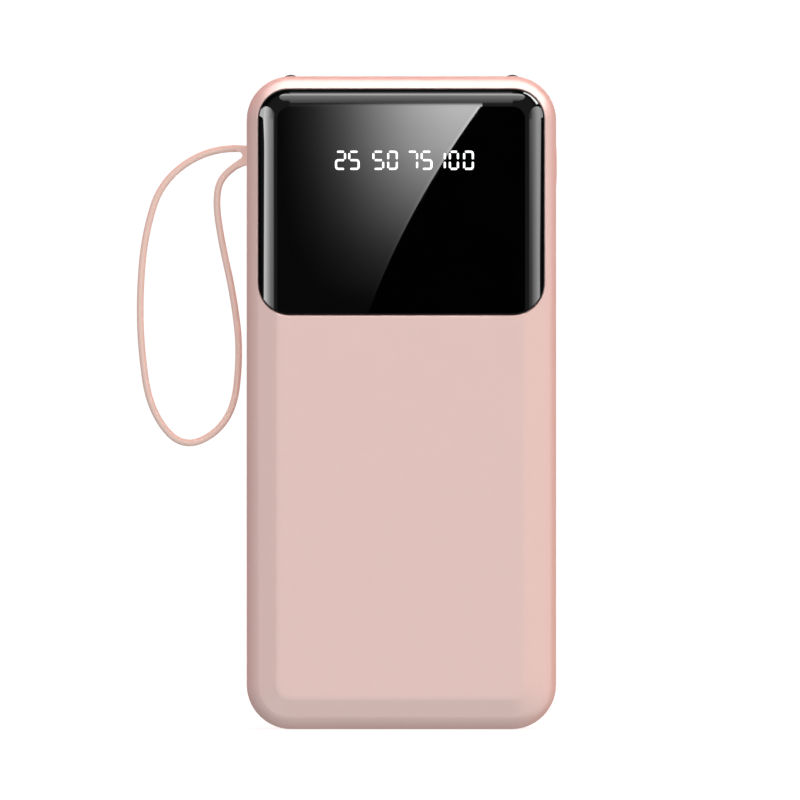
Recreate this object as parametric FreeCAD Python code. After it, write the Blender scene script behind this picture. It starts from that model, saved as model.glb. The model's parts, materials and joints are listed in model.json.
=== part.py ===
import FreeCAD, Part

# Power bank with a display window, two USB-A ports and one USB-C port, two torch
# lamps, a side button and a wrist strap, as the separate pieces it is put together from.
#
# Frame, in millimetres: it stands on its base end at z = 0, +Z is up towards the ports,
# -Y is the front with the window, and +X is to the right seen from the front.

import math
import os

Vector = FreeCAD.Vector
X, Y, Z = Vector(1, 0, 0), Vector(0, 1, 0), Vector(0, 0, 1)

# ---------------------------------------------------------------- driving dimensions

WIDTH, DEPTH, HEIGHT = 67.8, 22.0, 143.0
WALL = 1.6
CORNER_TOP, CORNER_BASE = 9.6, 9.8      # corner radii seen from the front
BAND = 7.0                               # slanted band round the front and back faces
BAND_DROP = 0.4103                       # how far the band falls per millimetre outwards
CREASE_FILLET, SIDE_FILLET = 2.8, 4.5    # face to band, and band to side
GAP = 0.05                               # between pieces that are fitted together

SEAM_Y = 5.5                             # where the deep front shell meets the rear shell
LIP_INSET, LIP_TALL = 0.85, 1.2
REVEAL_DEEP, REVEAL_WIDE = 0.2, 0.25     # the fine groove that shows along the seam

WINDOW_HALF, WINDOW_LOW, WINDOW_HIGH = 31.22, 90.65, 140.0
WINDOW_CORNER_TOP, WINDOW_CORNER_BASE = 6.6, 7.0
WINDOW_FACE, WINDOW_BACK = 0.08, 1.3     # the window's front and back below the skin
WINDOW_GAP, WINDOW_ROUND = 0.12, 0.35    # round its outline, and the rounding of its edge
GLASS_CREASE = 6.4                       # where its flat ends and its crowned band starts
GLASS_BREAK = 4.4                        # the middle of the crowned band
GLASS_ANGLES = (19.5, 28.5)              # the band's slope at its inner and outer end
GLASS_CROWN, GLASS_FILLET = 20.0, 2.0
SEAT_FACE, SEAT_BACK = 1.45, 2.65        # the ledge that it is stuck to
SEAT_LOW, SEAT_Y = 88.75, -6.2
RIM_BEVEL = 0.2

DISPLAY_X, DISPLAY_Z = (-17.4, 18.6), (119.8, 129.3)
DIGIT_LOW, DIGIT_HIGH, DIGIT_WIDE, DIGIT_STROKE = 122.3, 127.0, 2.75, 0.6
DIGIT_STARTS = (-14.6, -11.65, -6.4, -3.2, 1.4, 4.3, 10.4, 13.45)
ONE_START = 9.15                         # the narrow leading 1 of the last number

PORT_Y = 0.0
PLATE_HALF, PLATE_THIN = 27.5, 4.4
USB_A_X, USB_A_SIZE, USB_A_LOW = 13.4, (13.1, 5.7), 130.3
USB_C_SIZE, USB_C_LOW = (8.94, 3.16), 135.5
PORT_TOP, PORT_METAL = 142.8, 0.3
LAMP_X, LAMP_RADIUS, LAMP_TOP, LAMP_DOME = 24.3, 1.5, 143.52, 2.5

BOARD_BACK, BOARD_THICK = -2.85, 1.2     # y of the face that carries the ports
BOARD_HALF, BOARD_LOW, BOARD_HIGH = 30.5, 115.5, 139.9
BOSSES = [(x, z) for x in (-28.0, 28.0) for z in (118.3, 136.8)]
BOSS_RADIUS, PILOT_RADIUS = 2.1, 0.8

BUTTON_Z, BUTTON_LONG, BUTTON_WIDE = 123.5, 10.3, 3.3
BUTTON_PROUD, BUTTON_CROWN = 0.22, 60.0  # crowned ends finish flush with the side
BUTTON_GAP = 0.08
SWITCH_X, SWITCH_STEM = 29.6, 30.9       # the switch's face, and its stem's end

CELL_HALF, CELL_LOW, CELL_HIGH, CELL_THICK = 27.0, 5.0, 106.0, 8.2
GUARD_LOW, GUARD_HIGH, GUARD_HALF = 110.4, 114.2, 22.0

STRAP = 1.5                              # diameter of the strap's cord
ROOT_LOW, ROOT_HIGH, ROOT_THICK, ROOT_OUT = 123.55, 128.0, 2.0, 1.4
NOTCH_Z, NOTCH_OUT, NOTCH_RADIUS = 125.8, 1.8, 0.8   # the notch between the two strands
# The strap's route from its upper end round to its lower end, as it hangs. Both ends
# start 0.3 mm inside the moulded root.
STRAP_ROUTE = [
    (-35.0, 0.0, 127.25), (-41.7, 0.0, 127.7), (-52.6, -0.9, 120.5), (-56.3, -1.8, 108.6),
    (-57.4, -2.4, 95.9), (-57.2, -2.4, 84.0), (-55.2, -1.7, 69.6), (-47.6, -0.4, 60.8),
    (-37.2, 0.9, 67.4), (-35.4, 1.6, 82.2), (-36.9, 1.8, 94.9), (-39.7, 1.2, 107.4),
    (-40.9, 0.5, 116.4), (-39.3, 0.1, 121.9), (-35.0, 0.0, 124.35),
]


# ---------------------------------------------------------------- shape helpers

def rounded_edges(points, radii, closed=True):
    """Straight runs between points, joined by tangent arcs of the given radii."""
    count = len(points)
    corners = []
    for i in range(count):
        here, radius = points[i], radii[i]
        if radius <= 0 or (not closed and i in (0, count - 1)):
            corners.append((here, None, here))
            continue
        back = (points[i - 1] - here).normalize()
        ahead = (points[(i + 1) % count] - here).normalize()
        half = back.getAngle(ahead) / 2
        tangent = radius / math.tan(half)
        centre = here + (back + ahead).normalize() * (radius / math.sin(half))
        middle = centre + (here - centre).normalize() * radius
        corners.append((here + back * tangent, middle, here + ahead * tangent))
    edges = []
    for i, (start, middle, end) in enumerate(corners):
        if middle is not None:
            edges.append(Part.Arc(start, middle, end).toShape())
        if closed or i + 1 < count:
            following = corners[(i + 1) % count][0]
            if (following - end).Length > 1e-6:
                edges.append(Part.LineSegment(end, following).toShape())
    return edges


def rounded_face(points, radii):
    return Part.Face(Part.Wire(rounded_edges(points, radii)))


def block(x, y, z, radius=0.0, along="z"):
    """A box between the given limits, with the edges that run along one axis rounded."""
    if along == "z":
        points = [Vector(a, b, z[0]) for a, b in rectangle(x, y)]
        path = Z * (z[1] - z[0])
    elif along == "y":
        points = [Vector(a, y[0], b) for a, b in rectangle(x, z)]
        path = Y * (y[1] - y[0])
    else:
        points = [Vector(x[0], a, b) for a, b in rectangle(y, z)]
        path = X * (x[1] - x[0])
    return rounded_face(points, [radius] * 4).extrude(path)


def rectangle(u, v):
    return [(u[0], v[0]), (u[1], v[0]), (u[1], v[1]), (u[0], v[1])]


def around(centre, size):
    return centre - size / 2, centre + size / 2


def rod(start, end, radius):
    path = end - start
    return Part.makeCylinder(radius, path.Length, start, path)


def joined(shapes):
    """One solid from pieces that touch or overlap."""
    return shapes[0].multiFuse(shapes[1:]).removeSplitter()


def group(shapes):
    """Separate solids kept together in one node."""
    return Part.makeCompound([solid for shape in shapes for solid in shape.Solids])


def bend_radii(points):
    """As large an arc at each point as the runs beside it leave room for."""
    radii = [0.0]
    for before, here, after in zip(points, points[1:], points[2:]):
        shorter = min((here - before).Length, (after - here).Length)
        turn = (here - before).getAngle(after - here)
        radii.append(0.45 * shorter / math.tan(turn / 2))
    return radii + [0.0]


def tube(points, radii, diameter):
    """A round cord or wire along straight runs and tangent arcs."""
    wire = Part.Wire(rounded_edges(points, radii, closed=False))
    start = Part.Circle(points[0], points[1] - points[0], diameter / 2).toShape()
    shape = wire.makePipeShell([Part.Wire(start)], True, True)
    expected = wire.Length * math.pi * diameter ** 2 / 4
    print("tube length %.2f, volume over section times length %.4f, radii %s" % (
        wire.Length, shape.Volume / expected, [round(r, 1) for r in radii[1:-1]]))
    return shape


# ---------------------------------------------------------------- the casing's skin

def skin_section(inset, centre, radius, depth, angle):
    """The rounded edge of the casing from its side inwards, as a face in one upright plane."""
    out = Vector(math.cos(angle), 0, math.sin(angle))
    tilt = math.atan(BAND_DROP)
    band = BAND - inset * (1 - math.tan(tilt / 2))
    face_y = DEPTH / 2 - inset
    side_y = face_y - band * BAND_DROP
    half = [(0, side_y, SIDE_FILLET - inset), (band, face_y, CREASE_FILLET - inset),
            (depth, face_y, 0.0)]
    outline = half + [(inward, -y, r) for inward, y, r in reversed(half)]
    points = [centre + out * (radius - inward) + Y * y for inward, y, r in outline]
    return rounded_face(points, [r for inward, y, r in outline])


def glass_section(inset, centre, radius, depth, angle):
    """The same edge for the window's face, whose band is crowned and creased more sharply."""
    out = Vector(math.cos(angle), 0, math.sin(angle))
    inner, outer = [math.tan(math.radians(a)) for a in GLASS_ANGLES]
    face_y = DEPTH / 2 - inset
    break_y = face_y - (GLASS_CREASE - GLASS_BREAK) * inner
    half = [(0, break_y - GLASS_BREAK * outer, 0.0), (GLASS_BREAK, break_y, GLASS_CROWN),
            (GLASS_CREASE, face_y, GLASS_FILLET), (depth, face_y, 0.0)]
    outline = half + [(inward, -y, r) for inward, y, r in reversed(half)]
    points = [centre + out * (radius - inward) + Y * y for inward, y, r in outline]
    return rounded_face(points, [r for inward, y, r in outline])


def skin(inset, section=skin_section):
    """The solid inside the casing's outer skin, moved in by the given distance."""
    half, low, high = WIDTH / 2 - inset, inset, HEIGHT - inset
    top, base = CORNER_TOP - inset, CORNER_BASE - inset
    corners = [  # in order round the casing, with the angle each corner starts at
        (Vector(half - top, 0, high - top), top, 0.0),
        (Vector(top - half, 0, high - top), top, math.pi / 2),
        (Vector(base - half, 0, low + base), base, math.pi),
        (Vector(half - base, 0, low + base), base, 1.5 * math.pi),
    ]
    pieces = [block((top - half, half - top), (inset - DEPTH / 2, DEPTH / 2 - inset),
                    (low + top, high - top))]
    for i, (centre, radius, start) in enumerate(corners):
        pieces.append(section(inset, centre, radius, radius, start).revolve(centre, -Y, 90))
        end = start + math.pi / 2
        along = Vector(-math.sin(end), 0, math.cos(end))
        following = corners[(i + 1) % 4][0]
        run = (following - centre).dot(along)
        pieces.append(section(inset, centre, radius, top, end).extrude(along * run))
    return joined(pieces)


def outline_prism(inset, y):
    """The casing's front outline moved in, as a straight prism between two depths."""
    half = WIDTH / 2 - inset
    points = [Vector(a, y[0], b) for a, b in rectangle((-half, half), (inset, HEIGHT - inset))]
    radii = [CORNER_BASE - inset] * 2 + [CORNER_TOP - inset] * 2
    return rounded_face(points, radii).extrude(Y * (y[1] - y[0]))


def window_prism(inset, y=(-DEPTH, 0.0)):
    """The window's outline moved in, as a straight prism between two depths."""
    x = (-WINDOW_HALF + inset, WINDOW_HALF - inset)
    points = [Vector(a, y[0], b)
              for a, b in rectangle(x, (WINDOW_LOW + inset, WINDOW_HIGH - inset))]
    radii = [WINDOW_CORNER_BASE - inset] * 2 + [WINDOW_CORNER_TOP - inset] * 2
    return rounded_face(points, radii).extrude(Y * (y[1] - y[0]))


def port_prism(half, thin, z=(130.0, 145.0)):
    """The port plate's long rounded outline, as a prism through the top."""
    return block((-half, half), (-thin, thin), z, radius=thin - 0.01, along="z")


def between(outer, inner):
    return outer.cut(inner)


def rim_edges(shape, prism, surface):
    """The edges that lie both on a prism's sides and on a skin."""
    rim = []
    for edge in shape.Edges:
        middle = Part.Vertex(edge.valueAt((edge.FirstParameter + edge.LastParameter) / 2))
        if middle.Point.y > -CELL_THICK or prism.distToShape(middle)[0] > 1e-4:
            continue
        if min(face.distToShape(middle)[0] for face in surface.Faces) < 1e-4:
            rim.append(edge)
    return rim


# ---------------------------------------------------------------- casing

SKINS = {}


def cached_skin(inset):
    if inset not in SKINS:
        SKINS[inset] = skin(inset)
    return SKINS[inset]


def hook(x, z, facing_x, facing_z):
    """A snap hook on the rear shell: an arm with a barb that points at the wall."""
    wide, thick, root, tip = 5.0, 1.0, 8.2, 1.6
    profile = [(0.0, root), (thick, root), (thick, tip), (0.25, tip),
               (-0.45, tip + 1.1), (-0.45, tip + 1.4), (0.0, tip + 1.9)]
    into = Vector(-facing_x, 0, -facing_z)
    across = Vector(facing_z, 0, facing_x)
    corner = Vector(x, 0, z) - across * (wide / 2)
    points = [corner + into * inward + Y * y for inward, y in profile]
    return rounded_face(points, [0.0] * len(points)).extrude(across * wide)


def hook_places():
    """Each hook's x and z at its wall side, and which way its wall lies."""
    inset = WALL + 0.15
    side = WIDTH / 2 - inset
    places = [(sign * side, z, sign, 0) for sign in (-1, 1) for z in (30.0, 62.0, 94.0)]
    return places + [(x, inset, 0, -1) for x in (-15.0, 15.0)]


def hook_pocket(x, z, facing_x, facing_z):
    """The pocket in the front shell's wall that a hook's barb snaps into."""
    out, wide, low, high = 0.9, 5.6, 2.0, 3.9
    if facing_x:
        return block((x, x + facing_x * out)[::facing_x], (low, high), around(z, wide))
    return block(around(x, wide), (low, high), (z - out, z))


def front_shell():
    outer, cavity = cached_skin(0.0), cached_skin(WALL)
    shell = outer.cut(cavity).common(block((-40, 40), (-12, SEAM_Y), (-1, 150)))
    lip = outline_prism(LIP_INSET, (SEAM_Y - 0.5, SEAM_Y + LIP_TALL)).cut(
        outline_prism(WALL, (0.0, 10.0)))
    seat = between(cached_skin(SEAT_FACE), cached_skin(SEAT_BACK)).common(
        block((-40, 40), (-12, SEAT_Y), (SEAT_LOW, 150)))
    room = cached_skin(WALL - 0.3)
    ribs = [block(around(x, 1.2), (-10, 4.0), (1.0, CELL_LOW - 0.1)) for x in (-20.0, 20.0)]
    for z in (20.0, 50.0, 80.0):
        ribs += [block((-34, -CELL_HALF - 0.15), (-10, 5.0), around(z, 1.2)),
                 block((CELL_HALF + 0.15, 34), (-10, 5.0), around(z, 1.2))]
    ribs = [rib.common(room) for rib in ribs]
    bosses = [rod(Vector(x, -9.0, z), Vector(x, BOARD_BACK - BOARD_THICK, z), BOSS_RADIUS)
              for x, z in BOSSES]
    shell = joined([shell, lip, seat] + ribs + bosses)

    recess = window_prism(-WINDOW_GAP).cut(cached_skin(SEAT_FACE))
    aperture = block((DISPLAY_X[0] - 0.3, DISPLAY_X[1] + 0.3), (-12, -7),
                     (DISPLAY_Z[0] - 0.3, DISPLAY_Z[1] + 0.3), radius=0.8, along="y")
    button_hole = block((30, 36), around(0, BUTTON_WIDE + 2 * BUTTON_GAP),
                        around(BUTTON_Z, BUTTON_LONG + 2 * BUTTON_GAP),
                        radius=BUTTON_WIDE / 2 + BUTTON_GAP - 0.01, along="x")
    strap_slot = block((-36, -30), around(0, ROOT_THICK + 2 * GAP),
                       (ROOT_LOW - GAP, ROOT_HIGH + GAP), radius=0.9, along="x")
    cuts = [recess, aperture, button_hole, strap_slot,
            port_prism(PLATE_HALF + GAP, PLATE_THIN + GAP)]
    cuts += [hook_pocket(*place) for place in hook_places()]
    cuts += [rod(Vector(x, -8.6, z), Vector(x, -4.0, z), PILOT_RADIUS) for x, z in BOSSES]
    for cut in cuts:
        shell = shell.cut(cut)
    shell = shell.removeSplitter()
    rim = rim_edges(shell, window_prism(-WINDOW_GAP), cached_skin(0.0))
    return shell.makeChamfer(RIM_BEVEL, rim)


def rear_shell():
    outer, cavity = cached_skin(0.0), cached_skin(WALL)
    shell = outer.cut(cavity).common(block((-40, 40), (SEAM_Y, 12), (-1, 150)))
    shell = shell.cut(outline_prism(LIP_INSET - GAP, (SEAM_Y - 1, SEAM_Y + LIP_TALL + GAP)))
    reveal = outline_prism(-1, (SEAM_Y - 1, SEAM_Y + REVEAL_WIDE)).cut(
        outline_prism(REVEAL_DEEP, (SEAM_Y - 2, SEAM_Y + 2)))
    hooks = [hook(*place) for place in hook_places()]
    feet = [block(around(place[0], 5.0) if place[3] else (place[0] - 1.0, place[0] + 1.0),
                  (7.6, 10.0), (1.8, 3.3) if place[3] else around(place[1], 5.0))
            for place in hook_places()]
    room = cached_skin(WALL - 0.3)
    feet = [foot.common(room) for foot in feet]
    return joined([shell.cut(reveal)] + hooks + feet)


def display_window():
    face = skin(WINDOW_FACE, glass_section)
    window = between(face, cached_skin(WINDOW_BACK)).common(window_prism(0.0))
    window = window.removeSplitter()
    return window.makeFillet(WINDOW_ROUND, rim_edges(window, window_prism(0.0), face))


def window_adhesive():
    frame = window_prism(0.4).cut(window_prism(2.2))
    return between(cached_skin(WINDOW_BACK), cached_skin(SEAT_FACE)).common(frame)


def port_plate():
    sheet = between(cached_skin(0.1), cached_skin(1.5)).common(
        port_prism(PLATE_HALF, PLATE_THIN))
    flange = between(cached_skin(1.65), cached_skin(2.6)).common(
        port_prism(PLATE_HALF + 1.2, PLATE_THIN + 0.9))
    neck = between(cached_skin(1.4), cached_skin(1.7)).common(
        port_prism(PLATE_HALF, PLATE_THIN))
    plate = joined([sheet, neck, flange])
    for x in (-USB_A_X, USB_A_X):
        plate = plate.cut(port_hole(x, USB_A_SIZE, 0.7))
    plate = plate.cut(port_hole(0.0, USB_C_SIZE, USB_C_SIZE[1] / 2 - 0.01))
    for x in (-LAMP_X, LAMP_X):
        plate = plate.cut(rod(Vector(x, PORT_Y, 130), Vector(x, PORT_Y, 150),
                              LAMP_RADIUS + GAP))
    return plate


def port_hole(x, size, radius):
    return block(around(x, size[0] + 2 * GAP), around(PORT_Y, size[1] + 2 * GAP),
                 (130, 150), radius=radius, along="z")


# ---------------------------------------------------------------- ports

def port_shell(x, size, low, radius):
    """A folded metal shell with rounded edges, open at both ends."""
    outer = block(around(x, size[0]), around(PORT_Y, size[1]), (low, PORT_TOP),
                  radius=radius, along="z")
    inner = block(around(x, size[0] - 2 * PORT_METAL), around(PORT_Y, size[1] - 2 * PORT_METAL),
                  (low - 1, PORT_TOP + 1), radius=radius - PORT_METAL, along="z")
    return outer.cut(inner)


def usb_a(x):
    """Shell, insulator with its tongue, and four contacts of one USB-A port."""
    shell = port_shell(x, USB_A_SIZE, USB_A_LOW, 0.7)
    for side in (-1, 1):  # the spring windows in the shell's two broad faces
        for offset in (-2.6, 2.6):
            shell = shell.cut(block(around(x + offset, 2.2),
                                    (side * 2.0, side * 3.5)[::side], (135.2, 139.0),
                                    radius=0.4, along="y"))
    contacts = []
    for offset in (-3.5, -1.0, 1.0, 3.5):
        blade = block(around(x + offset, 1.0), (-0.2, 0.0), (129.4, 141.0))
        leg = block(around(x + offset, 1.0), (BOARD_BACK, 0.0), (129.2, 129.5))
        contacts.append(joined([blade, leg]))
    contacts = group(contacts)
    tongue = block(around(x, 11.1), (0.0, 1.84), (USB_A_LOW + 0.5, 141.8),
                   radius=0.3, along="z")
    back = block(around(x, 12.4), (0.0, 2.5), (USB_A_LOW, USB_A_LOW + 2.2),
                 radius=0.3, along="z")
    return shell, joined([tongue, back]), contacts


def usb_c():
    """Shell with its legs, insulator with its tongue, and the contacts of the USB-C port."""
    radius = USB_C_SIZE[1] / 2 - 0.01
    legs = [block(around(side * 3.6, 1.2), (BOARD_BACK, -USB_C_SIZE[1] / 2 + 0.15), z)
            for side in (-1, 1) for z in ((136.4, 137.6), (138.4, 139.6))]
    shell = joined([port_shell(0.0, USB_C_SIZE, USB_C_LOW, radius)] + legs)
    pads = []
    for i in range(12):
        x = (i - 5.5) * 0.5
        for side in (-1, 1):
            pads.append(block(around(x, 0.28), (side * 0.3, side * 0.38)[::side],
                              (134.9, 141.6)))
    contacts = group(pads)
    tongue = block(around(0.0, 6.69), around(PORT_Y, 0.7), (136.5, 142.1),
                   radius=0.3, along="z")
    back = block(around(0.0, 8.2), around(PORT_Y, 2.4), (USB_C_LOW, USB_C_LOW + 1.4),
                 radius=1.1, along="z")
    insulator = joined([tongue, back]).cut(contacts)
    return shell, insulator, contacts


def torch_lamp(x):
    """A three-millimetre lamp with a flange and a shallow dome."""
    centre = LAMP_TOP - LAMP_DOME
    body = rod(Vector(x, 0, 138.2), Vector(x, 0, 146), LAMP_RADIUS).common(
        Part.makeSphere(LAMP_DOME, Vector(x, 0, centre)).fuse(
            rod(Vector(x, 0, 138.2), Vector(x, 0, centre), LAMP_RADIUS)))
    flange = rod(Vector(x, 0, 138.2), Vector(x, 0, 139.1), LAMP_RADIUS + 0.35)
    return joined([body, flange])


def lamp_leads():
    leads = []
    for side in (-1, 1):
        for offset in (-0.8, 0.8):
            x = side * LAMP_X + offset
            route = [Vector(x, 0, 138.2), Vector(x, 0, 134.6), Vector(x, BOARD_BACK, 134.6)]
            leads.append(tube(route, [0.0, 0.8, 0.0], 0.5))
    return group(leads)


# ---------------------------------------------------------------- display

def bars(x, low, high, wide, stroke, y):
    """The seven bars of one digit, with small gaps between them."""
    gap, middle = 0.12, (low + high) / 2
    across = (x + stroke * 0.5 + gap, x + wide - stroke * 0.5 - gap)
    shapes = [block(across, y, around(z, stroke), radius=0.1, along="y")
              for z in (low + stroke / 2, middle, high - stroke / 2)]
    for start in (x, x + wide - stroke):
        for z in ((low + stroke + gap / 2, middle - stroke / 2 - gap / 2),
                  (middle + stroke / 2 + gap / 2, high - stroke - gap / 2)):
            shapes.append(block((start, start + stroke), y, z, radius=0.1, along="y"))
    return shapes


def display_segments():
    y = (-9.55, -8.75)
    shapes = []
    for start in DIGIT_STARTS:
        shapes += bars(start, DIGIT_LOW, DIGIT_HIGH, DIGIT_WIDE, DIGIT_STROKE, y)
    middle = (DIGIT_LOW + DIGIT_HIGH) / 2
    for z in ((DIGIT_LOW, middle - 0.1), (middle + 0.1, DIGIT_HIGH)):
        shapes.append(block((ONE_START, ONE_START + DIGIT_STROKE), y, z, 0.1, "y"))
    return group(shapes)


def display_housing(segments):
    front, back = -9.55, BOARD_BACK - BOARD_THICK
    case = block(DISPLAY_X, (front, back), DISPLAY_Z, radius=0.6, along="y")
    room = block((DISPLAY_X[0] + 0.8, DISPLAY_X[1] - 0.8), (-8.75, back + 1),
                 (DISPLAY_Z[0] + 0.8, DISPLAY_Z[1] - 0.8), radius=0.4, along="y")
    return case.cut(room).cut(segments)


def display_leds():
    back = BOARD_BACK - BOARD_THICK
    places = [start + DIGIT_WIDE / 2 for start in DIGIT_STARTS]
    return group([block(around(x, 0.8), (back - 0.6, back), around(z, 1.6), 0.1, "y")
                  for x in places for z in (123.5, 125.8)])


# ---------------------------------------------------------------- button and switch

def power_button():
    cap = block((31.8, 34.4), around(0, BUTTON_WIDE), around(BUTTON_Z, BUTTON_LONG),
                radius=BUTTON_WIDE / 2 - 0.01, along="x")
    crown_x = WIDTH / 2 + BUTTON_PROUD - BUTTON_CROWN
    crown = rod(Vector(crown_x, -5, BUTTON_Z), Vector(crown_x, 5, BUTTON_Z), BUTTON_CROWN)
    inner = WIDTH / 2 - WALL
    flange = block((inner - 0.85, inner - GAP), around(0, 5.0), around(BUTTON_Z, 12.3),
                   radius=1.2, along="x")
    boss = rod(Vector(SWITCH_STEM + GAP, 0, BUTTON_Z), Vector(inner - 0.5, 0, BUTTON_Z), 1.0)
    return joined([cap.common(crown), flange, boss])


def side_switch():
    """Body, stem, cover, dome and terminals of the side-acting tact switch."""
    z = around(BUTTON_Z, 6.0)
    deep = 2.0
    body = block((26.0, SWITCH_X), (BOARD_BACK, 2.15), z, radius=0.4, along="x")
    bore = rod(Vector(SWITCH_X - deep, 0, BUTTON_Z), Vector(SWITCH_X + 1, 0, BUTTON_Z), 1.3)
    dome_room = rod(Vector(SWITCH_X - deep - 0.6, 0, BUTTON_Z),
                    Vector(SWITCH_X - deep + 0.1, 0, BUTTON_Z), 1.9)
    body = body.cut(bore).cut(dome_room)
    dome = rod(Vector(SWITCH_X - deep - 0.6, 0, BUTTON_Z),
               Vector(SWITCH_X - deep - 0.45, 0, BUTTON_Z), 1.85)
    stem = rod(Vector(SWITCH_X - deep + 0.3, 0, BUTTON_Z),
               Vector(SWITCH_STEM, 0, BUTTON_Z), 1.25)
    cover = block((SWITCH_X, SWITCH_X + 0.2), (BOARD_BACK + 0.2, 2.15), z, 0.4, "x").cut(
        rod(Vector(SWITCH_X - 1, 0, BUTTON_Z), Vector(SWITCH_X + 1, 0, BUTTON_Z), 1.32))
    terminals = group([block((25.4, 26.0), (BOARD_BACK, BOARD_BACK + 0.25),
                             around(BUTTON_Z + offset, 0.7)) for offset in (-2.25, 2.25)])
    return body, stem, cover, dome, terminals


# ---------------------------------------------------------------- circuit board

def main_board():
    board = block((-BOARD_HALF, BOARD_HALF), (BOARD_BACK - BOARD_THICK, BOARD_BACK),
                  (BOARD_LOW, BOARD_HIGH), radius=1.0, along="y")
    corner = block((-BOARD_HALF, BOARD_HALF), (-6, 0), (BOARD_LOW - 20, BOARD_HIGH),
                   radius=6.0, along="y")
    board = board.common(corner)
    for x, z in BOSSES:
        board = board.cut(rod(Vector(x, -6, z), Vector(x, 0, z), 0.9))
    return board


def board_screws():
    screws = []
    for x, z in BOSSES:
        head = rod(Vector(x, BOARD_BACK, z), Vector(x, BOARD_BACK + 1.1, z), 1.6)
        shank = rod(Vector(x, -7.6, z), Vector(x, BOARD_BACK + 0.2, z), PILOT_RADIUS - 0.04)
        cross = [block(around(x, a), (BOARD_BACK + 0.5, BOARD_BACK + 2), around(z, b))
                 for a, b in ((1.8, 0.45), (0.45, 1.8))]
        screws.append(joined([head, shank]).cut(cross[0]).cut(cross[1]))
    return group(screws)


def chips(places, size, tall, radius=0.15):
    """Flat parts on the board's port side, each centred at an x and z."""
    wide, high = size
    return group([block(around(x, wide), (BOARD_BACK, BOARD_BACK + tall), around(z, high),
                        radius=radius, along="y") for x, z in places])


def inductors():
    parts = []
    for x in (-14.0, 14.0):
        body = block(around(x, 6.6), (BOARD_BACK, BOARD_BACK + 3.0), around(121.4, 6.6),
                     radius=1.4, along="y")
        top = [edge for edge in body.Edges
               if edge.BoundBox.YMin > BOARD_BACK + 2.9]
        parts.append(body.makeFillet(0.4, top))
    return group(parts)


def round_capacitors():
    parts = []
    for x in (-21.8, 21.8):
        can = rod(Vector(x, BOARD_BACK + 0.8, 122.0), Vector(x, BOARD_BACK + 5.8, 122.0), 3.1)
        rim = [edge for edge in can.Edges if edge.BoundBox.YMin > BOARD_BACK + 5.7]
        base = block(around(x, 6.4), (BOARD_BACK, BOARD_BACK + 0.9), around(122.0, 6.4),
                     radius=0.8, along="y")
        parts.append(joined([can.makeFillet(0.4, rim), base]))
    return group(parts)


# ---------------------------------------------------------------- battery

def pouch_cell(side):
    """One soft cell. Its sealed top edge lies in the plane of its flat face."""
    y = sorted((side * 0.1, side * (0.1 + CELL_THICK)))
    body = block((-CELL_HALF, CELL_HALF), y, (CELL_LOW, CELL_HIGH), radius=2.0, along="y")
    outer = [edge for edge in body.Edges
             if abs(edge.BoundBox.YMin - side * (0.1 + CELL_THICK)) < 1e-3
             and edge.BoundBox.YLength < 1e-3]
    body = body.makeFillet(1.6, outer)
    seal = block((-CELL_HALF + 1, CELL_HALF - 1), sorted((side * 0.1, side * 0.6)),
                 (CELL_HIGH - 1, 109.2))
    return joined([body, seal])


def cell_tabs(side):
    return group([block(around(x, 6.0), sorted((side * 0.4, side * 0.6)), (109.2, 113.4))
                  for x in (-12.0, 12.0)])


def battery_lead(x):
    """A wire from the protection board up to the main board's port side."""
    thick = 1.4
    low_y, high_y = 0.4 + thick / 2, BOARD_BACK + thick / 2
    route = [Vector(x, low_y, 111.5), Vector(x, low_y, 115.6),
             Vector(x, high_y, 117.6), Vector(x, high_y, 120.0)]
    return tube(route, [0.0, 1.5, 1.5, 0.0], thick)


def guard_chips():
    return group([block(around(x, 2.8), (-1.1, -0.4), (111.0, 113.4), 0.15, "y")
                  for x in (-4.5, 0.0, 4.5)])


# ---------------------------------------------------------------- wrist strap

def strap_root():
    """The moulded root: a forked tab through the side wall with a head behind it."""
    side = -WIDTH / 2
    wall = side + WALL
    tab = block((side - ROOT_OUT, wall + 0.5), around(0, ROOT_THICK),
                (ROOT_LOW, ROOT_HIGH), radius=0.85, along="x")
    notch = rod(Vector(side - NOTCH_OUT, -3, NOTCH_Z), Vector(side - NOTCH_OUT, 3, NOTCH_Z),
                NOTCH_RADIUS)
    head = block((wall + GAP, wall + 1.3), around(0, 4.0),
                 (ROOT_LOW - 1.0, ROOT_HIGH + 1.0), radius=1.0, along="x")
    return joined([tab.cut(notch), head])


def wrist_strap():
    route = [Vector(*point) for point in STRAP_ROUTE]
    return tube(route, bend_radii(route), STRAP)


# ---------------------------------------------------------------- all nodes

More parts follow.
